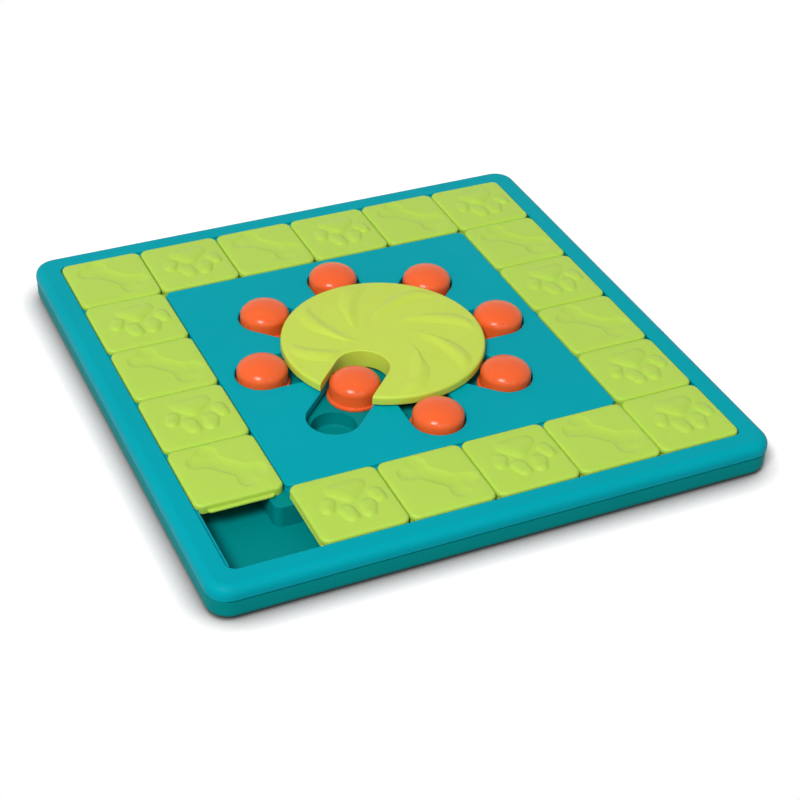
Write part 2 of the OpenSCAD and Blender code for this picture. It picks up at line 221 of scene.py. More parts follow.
def add_node(tree, kind, settings=None, links=None):
    """Adds a node: settings are attributes or input values, links are input: output."""
    made = tree.nodes.new(kind)
    for key, value in (settings or {}).items():
        if isinstance(key, int) or key in made.inputs:
            made.inputs[key].default_value = value
        else:
            setattr(made, key, value)
    for key, output in (links or {}).items():
        tree.links.new(output, made.inputs[key])
    return made


def empty_material(name):
    material = bpy.data.materials.new(name)
    material.use_nodes = True
    material.node_tree.nodes.clear()
    return material, material.node_tree


# Sizes of the patterns: a pigment drift is some 60 mm wide, the mould's grain is 0.5 mm
# (real grain is finer; this is as fine as the picture can hold), gloss varies over 15 mm.
DRIFT_PER_M = 1 / (60 * MM)
GRAIN_PER_M = 1 / (0.5 * MM)
GLOSS_PER_M = 1 / (15 * MM)
GRAIN_DEPTH = 0.02 * MM
GLOSS_BELOW, GLOSS_ABOVE = 0.04, 0.05
ABS_IOR = 1.53
# how far light spreads inside a softly lit plastic
GLOW_DEPTH = 1.5 * MM
print("pigment drifts over", round(1000 / DRIFT_PER_M), "mm")


def moulded_plastic(name, colour, drift, roughness, shine, grain, glow=0.0,
                    bleed=(1.0, 1.0, 1.0)):
    """Satin moulded plastic whose pigment, gloss and skin vary a little."""
    material, tree = empty_material(name)
    place = add_node(tree, "ShaderNodeTexCoord").outputs["Object"]
    pigment = add_node(tree, "ShaderNodeTexNoise",
                       {"Scale": DRIFT_PER_M, "Detail": 3.0}, {"Vector": place})
    tint = add_node(tree, "ShaderNodeMix", {"data_type": "RGBA"})
    tint.inputs[6].default_value = linear(colour)
    tint.inputs[7].default_value = linear(drift)
    tree.links.new(pigment.outputs["Fac"], tint.inputs["Factor"])
    sheen = add_node(tree, "ShaderNodeTexNoise",
                     {"Scale": GLOSS_PER_M, "Detail": 4.0}, {"Vector": place})
    gloss = add_node(tree, "ShaderNodeMapRange",
                     {"From Min": 0.3, "From Max": 0.7,
                      "To Min": roughness - GLOSS_BELOW, "To Max": roughness + GLOSS_ABOVE},
                     {"Value": sheen.outputs["Fac"]})
    skin = add_node(tree, "ShaderNodeTexNoise",
                    {"Scale": GRAIN_PER_M, "Detail": 2.0}, {"Vector": place})
    bump = add_node(tree, "ShaderNodeBump",
                    {"Strength": grain, "Distance": GRAIN_DEPTH},
                    {"Height": skin.outputs["Fac"]})
    shader = add_node(tree, "ShaderNodeBsdfPrincipled",
                      {"IOR": ABS_IOR, "Specular IOR Level": shine,
                       "Subsurface Weight": glow, "Subsurface Scale": GLOW_DEPTH,
                       "Subsurface Radius": bleed},
                      {"Base Color": tint.outputs[2], "Roughness": gloss.outputs["Result"],
                       "Normal": bump.outputs["Normal"]})
    add_node(tree, "ShaderNodeOutputMaterial", None, {"Surface": shader.outputs["BSDF"]})
    return material


# %% [markdown]
# The rim and the panel are a satin teal. The tray under them is a deeper, greener teal.
# It is partly the tray's own colour and partly painted shade: it is darker than the rim so
# that the cups and channels look dark. The tiles, wheel and knobs look a touch softer and
# lighter, as ABS with much white pigment does, so a little light is let into them. The
# knobs come from a polished mould, so they have the clearest gloss and almost no grain.

# %% The five plastics
# how far red, green and blue light spread inside: edges and shade turn greener or redder
GREEN_BLEED, RED_BLEED = (0.4, 1.4, 0.1), (1.4, 0.3, 0.1)
teal_abs = moulded_plastic("teal_moulded_abs", "#00A2B0", "#009CA9", 0.42, 0.03, 0.25)
# the tray's deeper teal is partly its own colour and partly painted shade for its cups and
# channels
deep_teal_and_painted_shade_abs = moulded_plastic("deep_teal_abs_and_painted_shade", "#00898A", "#008383", 0.45, 0.03, 0.25)
lime_abs = moulded_plastic("lime_moulded_abs", "#B4D552", "#AFD04C", 0.42, 0.22, 0.25, 0.4,
                           GREEN_BLEED)
pale_abs = moulded_plastic("pale_lime_moulded_abs", "#C4D851", "#C0D44C", 0.42, 0.22, 0.25,
                           0.4, GREEN_BLEED)
orange_abs = moulded_plastic("orange_moulded_abs", "#F0662A", "#EC5F27", 0.2, 0.22, 0.04,
                             0.4, RED_BLEED)
print("plastics:", [m.name for m in (teal_abs, deep_teal_and_painted_shade_abs, lime_abs, pale_abs, orange_abs)])

# %% [markdown]
# The screws and the washer are zinc-plated steel: bright, slightly blue-grey, with small
# patches where the plating lies duller. The feet and nothing else are black rubber, which
# is dull and shows dust in its grain.

# %% Steel and rubber
PLATING_PATCH = 0.8 * MM
DUST_PATCH = 1.5 * MM
RUBBER_IOR = 1.52


def plated_steel():
    material, tree = empty_material("zinc_plated_steel")
    place = add_node(tree, "ShaderNodeTexCoord").outputs["Object"]
    patch = add_node(tree, "ShaderNodeTexNoise",
                     {"Scale": 1 / PLATING_PATCH, "Detail": 4.0}, {"Vector": place})
    tint = add_node(tree, "ShaderNodeValToRGB", None, {"Fac": patch.outputs["Fac"]})
    tint.color_ramp.elements[0].color = linear("#A9ADB2")
    tint.color_ramp.elements[1].color = linear("#C9CCCF")
    rough = add_node(tree, "ShaderNodeMapRange", {"To Min": 0.25, "To Max": 0.42},
                     {"Value": patch.outputs["Fac"]})
    shader = add_node(tree, "ShaderNodeBsdfPrincipled", {"Metallic": 1.0},
                      {"Base Color": tint.outputs["Color"],
                       "Roughness": rough.outputs["Result"]})
    add_node(tree, "ShaderNodeOutputMaterial", None, {"Surface": shader.outputs["BSDF"]})
    return material


def foot_rubber():
    material, tree = empty_material("black_moulded_rubber")
    place = add_node(tree, "ShaderNodeTexCoord").outputs["Object"]
    dust = add_node(tree, "ShaderNodeTexNoise",
                    {"Scale": 1 / DUST_PATCH, "Detail": 5.0}, {"Vector": place})
    tint = add_node(tree, "ShaderNodeValToRGB", None, {"Fac": dust.outputs["Fac"]})
    tint.color_ramp.elements[0].color = linear("#1E2022")
    tint.color_ramp.elements[1].color = linear("#34373A")
    bump = add_node(tree, "ShaderNodeBump", {"Strength": 0.3, "Distance": 0.05 * MM},
                    {"Height": dust.outputs["Fac"]})
    shader = add_node(tree, "ShaderNodeBsdfPrincipled", {"IOR": RUBBER_IOR, "Roughness": 0.8},
                      {"Base Color": tint.outputs["Color"],
                       "Normal": bump.outputs["Normal"]})
    add_node(tree, "ShaderNodeOutputMaterial", None, {"Surface": shader.outputs["BSDF"]})
    return material


steel, rubber = plated_steel(), foot_rubber()
print("metal and rubber:", steel.name, rubber.name)

# %% [markdown]
# ## Tiles
# A tile is a square cap of plastic about 49 mm wide with round corners. Its top swells
# slightly inside a soft border and carries either a raised paw print or a sunken bone. A
# cube with bevels can't hold such a relief, so the top starts as a grid primitive. Its
# rows are set close together at the border, its corners are drawn round, and each point
# is then lifted or lowered by how deep it lies inside the outline of the motif, which is
# what a sculpting brush does by hand. The sides are extruded down from the grid's border.

# %% Distances to the shapes that make up a motif
# a relief starts this far outside its outline and is fully there this far inside, in mm
RELIEF_OUTSIDE, RELIEF_INSIDE = 0.4, 1.1


def smoothly(low, high, value):
    """0 below low, 1 above high and a soft S between them."""
    share = np.clip((value - low) / (high - low), 0, 1)
    return share * share * (3 - 2 * share)


def dome(depth, width):
    """A dome's height share: it rises steeply at the outline and levels off inside."""
    share = np.clip((depth + RELIEF_OUTSIDE) / width, 0, 1)
    return (1 - (1 - share) ** 2) * smoothly(-RELIEF_OUTSIDE, RELIEF_INSIDE, depth)


def blend_shapes(first, second, soft):
    """Distance to the union of two shapes, with a fillet where they meet."""
    mix = np.clip(0.5 + 0.5 * (second - first) / soft, 0, 1)
    return second * (1 - mix) + first * mix - soft * mix * (1 - mix)


def rod(x, y, start, end):
    """Distance to a rod between two circles (x, y, radius), negative inside it."""
    (ax, ay, ar), (bx, by, br) = start, end
    length = math.hypot(bx - ax, by - ay)
    ux, uy = (bx - ax) / length, (by - ay) / length
    along = (x - ax) * ux + (y - ay) * uy
    side = np.abs((x - ax) * uy - (y - ay) * ux)
    taper = (ar - br) / length
    slope = math.sqrt(1 - taper * taper)
    flank = side * slope + along * taper - ar
    near_start = np.hypot(along, side) - ar
    near_end = np.hypot(along - length, side) - br
    cross = along * slope - side * taper
    return np.where(cross < 0, near_start, np.where(cross > length * slope, near_end, flank))


def rounded_triangle(x, y, corners, radius):
    """Distance to a triangle whose outline is grown outwards by a radius."""
    shape = np.full_like(x, np.inf)
    outside = np.full_like(x, -np.inf)
    for (ax, ay), (bx, by) in zip(corners, corners[1:] + corners[:1]):
        ex, ey = bx - ax, by - ay
        share = np.clip(((x - ax) * ex + (y - ay) * ey) / (ex * ex + ey * ey), 0, 1)
        shape = np.minimum(shape, np.hypot(x - ax - share * ex, y - ay - share * ey))
        outside = np.maximum(outside, (y - ay) * -ex + (x - ax) * ey)
    return np.where(outside > 0, shape, -shape) - radius


print("midway along a rod of radius 2:", rod(0.0, 0.0, (-5, 0, 2), (5, 0, 2)))

# %% Paw and bone, measured on the tile in millimetres
PAD_CORNERS, PAD_RADIUS = [(1.3, 4.6), (8.9, 11.9), (-4.4, 11.2)], 5.2
PAD_FAR, PAD_NEAR = 17.5, 0.5
TOES = [((-10.8, 2.6, 4.3), (-12.8, -2.3, 3.9)), ((-4.0, -6.0, 5.0), (-3.0, -11.2, 4.4)),
        ((8.4, -5.4, 5.0), (6.7, -11.5, 4.1)), ((15.6, 2.8, 4.5), (16.6, -2.4, 3.9))]
BONE_BAR = ((-5.0, 9.0, 5.9), (9.5, -6.0, 5.9))
BONE_ENDS = [(-12.0, 10.5, 6.1), (-4.8, 16.5, 5.9), (8.7, -13.0, 6.1), (15.5, -6.0, 6.1)]
KNUCKLE_BLEND = 4.0
PAW_RISE, BONE_SINK = 1.9, 1.15
# how far inside its outline each dome levels off
PAD_SLOPE, TOE_SLOPE, BONE_SLOPE = 6.5, 4.4, 5.5


def lean(y, far, near):
    """A cushion is highest at its near end and sinks to half at its far end."""
    return 0.5 + 0.5 * np.clip((far - y) / (far - near), 0, 1)


def paw_height(x, y):
    """The paw's pad is a broad cushion and its toes are smaller, steeper ones."""
    pad = dome(-rounded_triangle(x, y, PAD_CORNERS, PAD_RADIUS), PAD_SLOPE)
    height = lean(y, PAD_FAR, PAD_NEAR) * pad
    for toe in TOES:
        (_, far, far_radius), (_, near, near_radius) = toe
        height = np.maximum(height, lean(y, far + far_radius, near - near_radius)
                            * dome(-rod(x, y, *toe), TOE_SLOPE))
    return PAW_RISE * height


def bone_depth(x, y):
    """The bone is one soft hollow: a bar with two round knuckles at each end."""
    shape = rod(x, y, *BONE_BAR)
    for cx, cy, radius in BONE_ENDS:
        shape = blend_shapes(shape, np.hypot(x - cx, y - cy) - radius, KNUCKLE_BLEND)
    return BONE_SINK * dome(-shape, BONE_SLOPE)


print("paws rise up to", PAW_RISE, "mm and bones sink", BONE_SINK, "mm")

# %% Shape a tile's top
# how far from the tile's side each of the grid's border lines runs
BORDER = [0.0, 0.12, 0.28, 0.48, 0.72, 1.0, 1.35, 1.8, 2.4]
INNER_CELLS = 72
TILE_CORNER = 5.0
EDGE_ROUND = 1.5
PILLOW_WIDTH = 6.0
PILLOW_DROP = 0.45


def tile_lines():
    """Places of the grid's lines across a tile, closer together at its borders."""
    low = [-TILE_HALF + step for step in BORDER]
    inner = np.linspace(low[-1], -low[-1], INNER_CELLS + 1)[1:-1]
    return np.array(low + list(inner) + [-place for place in reversed(low)])


def round_corners(x, y):
    """Turns each square ring about a corner's middle into a circle.

    It gives the new places and how far each lies inside the tile's outline."""
    start = TILE_HALF - TILE_CORNER
    dx, dy = np.abs(x) - start, np.abs(y) - start
    at_corner = (dx > 0) & (dy > 0)
    ring = np.maximum(dx, dy)
    shrink = np.where(at_corner, ring / np.where(at_corner, np.hypot(dx, dy), 1), 1)
    x = np.where(at_corner, np.sign(x) * (start + dx * shrink), x)
    y = np.where(at_corner, np.sign(y) * (start + dy * shrink), y)
    return x, y, TILE_CORNER - ring


def add_tile_top(has_paw):
    """A grid with a rounded edge, a slight swell and the motif."""
    lines = tile_lines()
    cells = len(lines) - 1
    pick_none()
    bpy.ops.mesh.primitive_grid_add(x_subdivisions=cells, y_subdivisions=cells, size=2)
    tile = bpy.context.object
    points = np.empty(len(tile.data.vertices) * 3)
    tile.data.vertices.foreach_get("co", points)
    points = points.reshape(-1, 3)
    column, row = (np.rint((points[:, i] + 1) / 2 * cells).astype(int) for i in (0, 1))
    x, y, inward = round_corners(lines[column], lines[row])
    z = np.full_like(x, TILE_TOP)
    edge = np.clip(EDGE_ROUND - inward, 0, EDGE_ROUND)
    z -= EDGE_ROUND - np.sqrt(EDGE_ROUND ** 2 - edge ** 2)
    z -= PILLOW_DROP * (1 - np.clip(inward / PILLOW_WIDTH, 0, 1)) ** 2
    if has_paw:
        z += paw_height(x, y)
    else:
        z -= bone_depth(x, y)
    tile.data.vertices.foreach_set("co", np.column_stack([x, y, z]).ravel() * MM)
    tile.data.update()
    return tile


print("grid lines each way on a tile:", len(tile_lines()))

# %% [markdown]
# The tiles hold one another in the track. A tile has a thin tongue on its near and right
# sides, which reaches under its neighbour, and a groove on its left and far sides, which
# takes the neighbour's tongue. The tongues are blocks with two corners rounded and their
# long edges eased, and a Boolean joins them to the tile. The grooves are cut by blocks
# that are a little taller, so that the tiles slide freely.

# %% Give a tile its sides, tongues and grooves
TONGUE_REACH, TONGUE_HALF, TONGUE_ROOT = 2.2, 18.5, 22.0
TONGUE_CORNER, TONGUE_EDGE = 2.0, 0.25
GROOVE_DEPTH, GROOVE_ROOM = 2.0, 0.2
PAST_TILE = 26.0


def close_sides(tile):
    """Extrudes the grid's border down to the tile's underside and closes it there."""
    pick_only(tile)
    bpy.ops.object.mode_set(mode="EDIT")
    bpy.ops.mesh.select_all(action="DESELECT")
    bpy.ops.mesh.select_mode(type="EDGE")
    bpy.ops.mesh.select_non_manifold(extend=False)
    side_top = TILE_TOP - EDGE_ROUND - PILLOW_DROP
    bpy.ops.mesh.extrude_region_move(
        TRANSFORM_OT_translate={"value": (0, 0, (TILE_LOW - side_top) * MM)})
    bpy.ops.mesh.edge_face_add()
    bpy.ops.mesh.select_all(action="SELECT")
    bpy.ops.mesh.normals_make_consistent(inside=False)
    leave_edit()


def add_tongue(tile, low, high):
    """Joins a tongue to the tile's near or right side."""
    def outside(p):
        return p[1] < -TILE_HALF or p[0] > TILE_HALF

    tongue = add_block(low + (TONGUE_LOW,), high + (TONGUE_HIGH,))
    pick_edges(tongue, lambda a, b: is_upright(a, b) and outside(a))
    bpy.ops.mesh.bevel(offset=TONGUE_CORNER * MM, segments=5)
    leave_edit()
    pick_edges(tongue, lambda a, b: not is_upright(a, b) and outside(a) and outside(b))
    bpy.ops.mesh.bevel(offset=TONGUE_EDGE * MM, segments=3)
    leave_edit()
    cut_or_join(tile, tongue, "UNION")


def cut_groove(piece, low, high):
    """Cuts a groove with room for a tongue into the piece's left or far side."""
    groove = add_block(low + (TONGUE_LOW - GROOVE_ROOM,), high + (TONGUE_HIGH + GROOVE_ROOM,))
    cut_or_join(piece, groove, "DIFFERENCE")


def add_tile(name, has_paw):
    tile = add_tile_top(has_paw)
    close_sides(tile)
    tip, bottom = TILE_HALF + TONGUE_REACH, TILE_HALF - GROOVE_DEPTH
    add_tongue(tile, (-TONGUE_HALF, -tip), (TONGUE_HALF, -TONGUE_ROOT))
    add_tongue(tile, (TONGUE_ROOT, -TONGUE_HALF), (tip, TONGUE_HALF))
    cut_groove(tile, (-PAST_TILE, bottom), (PAST_TILE, PAST_TILE))
    cut_groove(tile, (-PAST_TILE, -PAST_TILE), (-bottom, PAST_TILE))
    smooth_shade(tile, 32)
    tile.name = name
    print(name, "has", len(tile.data.polygons), "faces")
    return tile


# %% Put a tile in every cell
# each tile's column and row, counted from the near left corner, and whether it has a paw
CELLS_TO_MIDDLE = 2.5
TILES = {
    "left_1": (0, 1, False), "left_2": (0, 2, True), "left_3": (0, 3, False),
    "left_4": (0, 4, True), "corner_far_left": (0, 5, False),
    "near_1": (1, 0, True), "near_2": (2, 0, False), "near_3": (3, 0, True),
    "near_4": (4, 0, False), "corner_near_right": (5, 0, True),
    "far_1": (1, 5, True), "far_2": (2, 5, False), "far_3": (3, 5, True),
    "far_4": (4, 5, False), "corner_far_right": (5, 5, True),
    "right_1": (5, 1, True), "right_2": (5, 2, False), "right_3": (5, 3, True),
    "right_4": (5, 4, False)}
models = {True: add_tile("paw_model", True), False: add_tile("bone_model", False)}
for place, (column, row, has_paw) in TILES.items():
    shift = ((column - CELLS_TO_MIDDLE) * TILE_PITCH, (row - CELLS_TO_MIDDLE) * TILE_PITCH, 0)
    tile = copy_piece(models[has_paw], "lime_tile", shift=shift)
    seat(tile, "lime_tile_" + place, ["tile_" + place], lime_abs)
for model in models.values():
    bpy.data.meshes.remove(model.data)
print("tiles placed:", len(TILES))

# %% [markdown]
# ## Turned profiles
# Knobs and wheel are round, so each starts as a half section that is spun about its axis,
# as one would turn it on a lathe. The section is drawn by extruding one vertex from point
# to point.

# %% Spin a section
def spin_section(section, steps):
    """Spins points (radius, height) in millimetres about the board's upright axis."""
    pick_none()
    bpy.ops.mesh.primitive_plane_add(size=1)
    piece = bpy.context.object
    bpy.ops.object.mode_set(mode="EDIT")
    bpy.ops.mesh.select_mode(type="VERT")
    bpy.ops.mesh.merge(type="CENTER")
    (radius, height), rest = section[0], section[1:]
    bpy.ops.transform.translate(value=(radius * MM, 0, height * MM))
    for next_radius, next_height in rest:
        bpy.ops.mesh.extrude_vertices_move(TRANSFORM_OT_translate={
            "value": ((next_radius - radius) * MM, 0, (next_height - height) * MM)})
        radius, height = next_radius, next_height
    bpy.ops.mesh.select_all(action="SELECT")
    bpy.ops.mesh.spin(steps=steps, angle=math.tau, axis=(0, 0, 1), center=(0, 0, 0))
    bpy.ops.mesh.select_all(action="SELECT")
    bpy.ops.mesh.remove_doubles(threshold=0.002 * MM)
    bpy.ops.mesh.normals_make_consistent(inside=False)
    leave_edit()
    return piece


def arc(middle_r, middle_z, radius_r, radius_z, start, end, count):
    """Points on an elliptic arc of a section; angles in degrees from outward."""
    turns = [math.radians(start + (end - start) * i / count) for i in range(count + 1)]
    return [(middle_r + radius_r * math.cos(t), middle_z + radius_z * math.sin(t))
            for t in turns]


print("a quarter circle in two steps:",
      [(round(r, 2), round(z, 2)) for r, z in arc(0, 0, 1, 1, 0, 90, 2)])

# %% [markdown]
# ## Knobs
# A knob is an orange dome on a short straight skirt. A wider flange under it slides in a
# channel below the panel, so the knob can't be lifted out. One knob is spun and copied
# eight times round the wheel; the drawn-in one sits 31 mm nearer the axis.

# %% Spin one knob and copy it round
KNOB_RADIUS, DOME_HEIGHT = 14.6, 7.8
FLANGE_RADIUS, FLANGE_HEIGHT = 16.0, 1.8
KNOB_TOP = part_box("knob_right")[1].z / MM
KNOB_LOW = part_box("knob_right")[0].z / MM
SKIRT_TOP = KNOB_TOP - DOME_HEIGHT
FLANGE_TOP = KNOB_LOW + FLANGE_HEIGHT
KNOB_STEPS, DOME_STEPS = 112, 28
EDGE = 0.35
knob_section = (
    [(0, KNOB_LOW)]
    + arc(FLANGE_RADIUS - EDGE, KNOB_LOW + EDGE, EDGE, EDGE, -90, 0, 3)
    + arc(FLANGE_RADIUS - EDGE, FLANGE_TOP - EDGE, EDGE, EDGE, 0, 90, 3)
    + arc(KNOB_RADIUS + EDGE, FLANGE_TOP + EDGE, EDGE, EDGE, -90, -180, 3)
    + arc(0, SKIRT_TOP, KNOB_RADIUS, DOME_HEIGHT, 0, 90, DOME_STEPS))
KNOBS = ["right", "far_right", "far", "far_left", "left", "near_left", "near", "near_right"]
model = spin_section(knob_section, KNOB_STEPS)
smooth_shade(model, 40)
for index, place in enumerate(KNOBS):
    distance = KNOB_TRACK - (KNOB_SLIDE if place == "near_left" else 0)
    turn = math.radians(KNOB_SPACING * index)
    knob = copy_piece(model, "knob", turn=KNOB_SPACING * index,
                      shift=(distance * math.cos(turn), distance * math.sin(turn), 0))
    faces = seat(knob, "orange_knob_" + place, ["knob_" + place],
                 orange_abs)
bpy.data.meshes.remove(model.data)
print("knobs placed:", len(KNOBS), "faces each:", faces)

# %% [markdown]
# ## Slots and the wheel's notch
# The panel's slots and the wheel's notch are the same shape: a round end and straight
# sides. Where moulded plastic is open like this its lip is softly rounded. The cutter
# below is a cylinder with one half pulled out to the slot's length, and its top flares
# outwards along a quarter circle, so one Boolean cuts the hole and rounds its lip.

# %% A flared cutter for slots
LIP, LIP_STEPS = 0.7, 4
ROUND_STEPS = 96
# how far the cutter goes on above its lip, and what counts as the same place
CUTTER_HEAD = 3
NEAR = 0.01


def add_slot_cutter(start, end, low, top, turn):
    """A slot-shaped cutter between two round ends, whose lip at the top flares out."""
    pick_none()
    depth = top - LIP - low
    bpy.ops.mesh.primitive_cylinder_add(
        vertices=ROUND_STEPS, radius=SLOT_HALF * MM, depth=depth * MM,
        location=(start * MM, 0, (low + depth / 2) * MM))
    cutter = bpy.context.object
    apply_place(cutter)
    pick_points(cutter, lambda x, y, z: x > start + NEAR)
    bpy.ops.transform.translate(value=((end - start) * MM, 0, 0))
    leave_edit()
    pick_points(cutter, lambda x, y, z: z > top - LIP - NEAR)
    length = (end - start) / 2 + SLOT_HALF
    middle = ((start + end) / 2 * MM, 0, top * MM)
    rise, spread = 0.0, 0.0
    for step in range(1, LIP_STEPS + 2):
        angle = math.radians(min(90 * step / LIP_STEPS, 90))
        next_rise = LIP * math.sin(angle) if step <= LIP_STEPS else LIP + CUTTER_HEAD
        next_spread = LIP * (1 - math.cos(angle))
        bpy.ops.mesh.extrude_region_move(
            TRANSFORM_OT_translate={"value": (0, 0, (next_rise - rise) * MM)})
        bpy.ops.transform.resize(
            value=((length + next_spread) / (length + spread),
                   (SLOT_HALF + next_spread) / (SLOT_HALF + spread), 1),
            center_override=middle)
        rise, spread = next_rise, next_spread
    leave_edit()
    cutter.rotation_euler.z = math.radians(turn)
    apply_place(cutter)
    return cutter


print("slots are", 2 * SLOT_HALF, "mm wide and their lips", LIP, "mm")

# %% [markdown]
# ## Centre panel
# The panel is a flat square plate with small round corners, a softened top edge and eight
# slots that meet under the wheel. A cube is bevelled twice and the slots are cut out of
# it. Its near and right sides carry a tongue for the tiles, its left and far sides a
# groove.

# %% Build the centre panel
PANEL_HALF, PANEL_LOW, PANEL_CORNER = 99.7, PANEL_TOP - 4.5, 4.5
PANEL_EDGE = 0.8
PAST_PANEL = 110


def add_panel():
    panel = add_block((-PANEL_HALF, -PANEL_HALF, PANEL_LOW),
                      (PANEL_HALF, PANEL_HALF, PANEL_TOP))
    pick_edges(panel, is_upright)
    bpy.ops.mesh.bevel(offset=PANEL_CORNER * MM, segments=10)
    leave_edit()
    pick_edges(panel, lambda a, b: min(a[2], b[2]) > PANEL_TOP - NEAR)
    bpy.ops.mesh.bevel(offset=PANEL_EDGE * MM, segments=4)
    leave_edit()
    # one cutter makes two slots that face each other
    for turn in range(0, 180, KNOB_SPACING):
        cutter = add_slot_cutter(-KNOB_TRACK, KNOB_TRACK, PANEL_LOW - 1, PANEL_TOP, turn)
        cut_or_join(panel, cutter, "DIFFERENCE")
    tongue_end, root = PANEL_HALF - PANEL_CORNER, PANEL_HALF - 1
    tip, bottom = PANEL_HALF + TONGUE_REACH, PANEL_HALF - GROOVE_DEPTH
    for low, high in (((-tongue_end, -tip), (tongue_end, -root)),
                      ((root, -tongue_end), (tip, tongue_end))):
        cut_or_join(panel, add_block(low + (TONGUE_LOW,), high + (TONGUE_HIGH,)), "UNION")
    cut_groove(panel, (-PAST_PANEL, bottom), (PAST_PANEL, PAST_PANEL))
    cut_groove(panel, (-PAST_PANEL, -PAST_PANEL), (-bottom, PAST_PANEL))
    smooth_shade(panel, 32, has_flats=True)
    return panel


panel = add_panel()
print("panel faces:", seat(panel, "teal_centre_panel", ["centre_panel"],
                           teal_abs))

# %% [markdown]
# ## Wheel
# The wheel is a shallow domed disc with a rolled edge. Seven low vanes swirl over it, one
# for each knob that stands out on its cup. Each vane has a crest that curves from near the
# middle to the rim. On one side it falls away quickly and leaves a crescent, on the other
# side it fades. Under the disc a drum reaches down into the panel's open middle. The disc
# is spun with many rings, each point of its top is lifted by the height of the vane there,
# and the notch is cut last so that its lip runs over the relief.

# %% Shape of the vanes
WHEEL_RADIUS, WHEEL_LOW, WHEEL_RIM = 59.5, PANEL_TOP + 1.0, PANEL_TOP + 6.4
# radii from the axis, and the angle of a vane's crest and of its steep side's foot at each
CREST = ([14, 20, 26, 32, 38, 44, 50, 54.5, 58], [50, 36, 25, 16.5, 9, 2.5, -3, -8, -11])
FOOT = ([14, 18, 30, 40, 48, 54, 57, 58], [53, 42, 24, 17, 9, 1, -5, -8])
# the vanes grow between the first two radii and die away between the other two
VANE_START, VANE_END = (14, 32), (50, 58)
VANE_RISE = 1.6
FADE_WIDTH, STEEP_WIDTH = 8.0, 0.4
# the notch's round inner end has its middle here, and its cutter ends well past the rim
NOTCH_MIDDLE, NOTCH_END = KNOB_TRACK - KNOB_SLIDE - 11.0, 90
# a vane begins to fade at the second distance from the notch and is gone at the first
NOTCH_FADE = (0.6, 5.0)


def vane_height(radius, turn):
    """Height of the vane nearest to this angle, in millimetres."""
    crest = np.interp(radius, *CREST)
    foot = np.interp(radius, *FOOT)
    strength = smoothly(*VANE_START, radius) * (1 - smoothly(*VANE_END, radius))
    height = np.zeros_like(radius)
    for middle in range(0, 360, KNOB_SPACING):
        if middle == DRAWN_TURN:
            continue
        off = (turn - middle - crest + 180) % 360 - 180
        arc_off = np.radians(off) * radius
        steep = np.maximum(np.radians(foot - crest) * radius, STEEP_WIDTH)
        share = np.where(arc_off > 0, 1 - arc_off / steep, 1 + arc_off / FADE_WIDTH)
        share = np.clip(share, 0, 1)
        profile = np.where(arc_off > 0, share * (1.5 - 0.5 * share ** 2), smoothly(0, 1, share))
        height = np.maximum(height, profile)
    # the notch's outline, which opens by a hair towards the rim
    drawn = np.radians(turn - DRAWN_TURN)
    notch = rod(radius * np.cos(drawn), radius * np.sin(drawn),
                (NOTCH_MIDDLE, 0, SLOT_HALF), (NOTCH_END, 0, SLOT_HALF + NEAR))
    return VANE_RISE * strength * height * smoothly(*NOTCH_FADE, notch)


print("vanes rise up to", VANE_RISE, "mm; the notch's inner end is at", NOTCH_MIDDLE, "mm")

# %% Spin the disc, raise the vanes and cut the notch
WHEEL_EDGE, WHEEL_CROWN = 1.8, 0.6
WHEEL_RINGS, WHEEL_STEPS = 84, 320
DRUM_RADIUS, DRUM_LOW = 39.8, PANEL_TOP - 4.2
UNDER_EDGE = 0.3


def add_wheel():
    flat = WHEEL_RADIUS - WHEEL_EDGE
    inner = WHEEL_RADIUS - 2 * WHEEL_EDGE
    top = [(r, WHEEL_RIM + WHEEL_CROWN * max(0.0, 1 - (r / inner) ** 2))
           for r in np.linspace(0, flat, WHEEL_RINGS)]
    section = (top + arc(flat, WHEEL_RIM - WHEEL_EDGE, WHEEL_EDGE, WHEEL_EDGE, 90, 0, 6)[1:]
               + [(WHEEL_RADIUS, WHEEL_LOW + UNDER_EDGE),
                  (WHEEL_RADIUS - UNDER_EDGE, WHEEL_LOW), (DRUM_RADIUS, WHEEL_LOW),
                  (DRUM_RADIUS, DRUM_LOW), (0, DRUM_LOW)])
    wheel = spin_section(section, WHEEL_STEPS)
    points = np.empty(len(wheel.data.vertices) * 3)
    wheel.data.vertices.foreach_get("co", points)
    points = points.reshape(-1, 3) / MM
    radius = np.hypot(points[:, 0], points[:, 1])
    turn = np.degrees(np.arctan2(points[:, 1], points[:, 0]))
    on_top = points[:, 2] > WHEEL_RIM - WHEEL_EDGE
    points[:, 2] += np.where(on_top, vane_height(radius, turn), 0)
    wheel.data.vertices.foreach_set("co", points.ravel() * MM)
    wheel.data.update()
    cutter = add_slot_cutter(NOTCH_MIDDLE, NOTCH_END, PANEL_TOP - 6, WHEEL_RIM + WHEEL_CROWN,
                             DRAWN_TURN)
    cut_or_join(wheel, cutter, "DIFFERENCE")
    smooth_shade(wheel, 35)
    return wheel


wheel = add_wheel()
print("wheel faces:", seat(wheel, "pale_lime_wheel", ["wheel"],
                           pale_abs))

# %% [markdown]
# ## Base tray and rim
# Both are complicated mouldings whose CAD shape is right, so they aren't modelled again. A
# copy of each mesh is welded, its flat triangles are joined into whole faces, and only
# the sharp edges that show are bevelled: the ledge round the plateau, the rim's edge over
# the track, and the two edges that meet at the parting line. A bevel there with a profile
# of 0 cuts a small square step into the tray, which leaves the thin dark groove that runs
# round the real board.

# %% Copy a CAD part and soften chosen edges
# points this close, in mm, are merged, and faces this flat, in degrees, become one
# face; an edge is sharp beyond the last angle
WELD = 0.003
FLAT_ANGLE, SHARP_ANGLE = 0.2, 40


